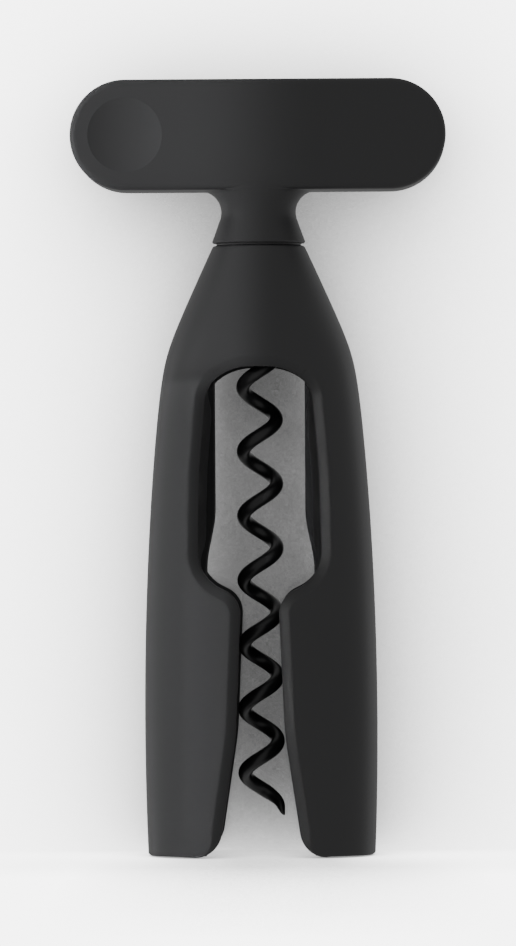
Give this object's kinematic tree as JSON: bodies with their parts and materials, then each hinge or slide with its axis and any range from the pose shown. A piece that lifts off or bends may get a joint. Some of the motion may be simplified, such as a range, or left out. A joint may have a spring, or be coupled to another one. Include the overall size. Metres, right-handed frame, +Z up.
{
  "type": "corkscrew",
  "caption": "Self-pulling bell corkscrew: a T handle turns a coated spiral worm inside a two-legged bell that seats on a bottle neck.",
  "frame": {"origin": "on the worm's axis, in the plane of the leg ends that it stands on", "axes": "+Z up along the worm's axis to the handle, X along the handle bar, the side with the thumb dimple faces -Y"},
  "size_m": [0.0834, 0.0354, 0.1721],
  "materials": {
    "body_plastic": "fine satin moulded, charcoal",
    "liner_plastic": "plain moulded, black",
    "bush_plastic": "smooth low-friction plastic, black",
    "worm_coating": "semi-gloss non-stick coating on steel wire, black",
    "washer_steel": "bright stamped steel",
    "hub_steel": "turned steel"
  },
  "bodies": {
    "bell": {"body_shell": "body_plastic", "neck_liner": "liner_plastic", "crown_bush": "bush_plastic", "thrust_washer": "bush_plastic"},
    "turning_handle": {"handle": "body_plastic", "drive_hub": "hub_steel", "cross_pin": "hub_steel", "worm": "worm_coating", "push_on_clip": "washer_steel", "retaining_washer": "washer_steel"}
  },
  "joints": [
    {"name": "handle_turn", "type": "hinge", "parent": "bell", "child": "turning_handle", "pos_m": [0, 0, 0.1353], "axis": [0, 0, 1], "continuous": true}
  ]
}
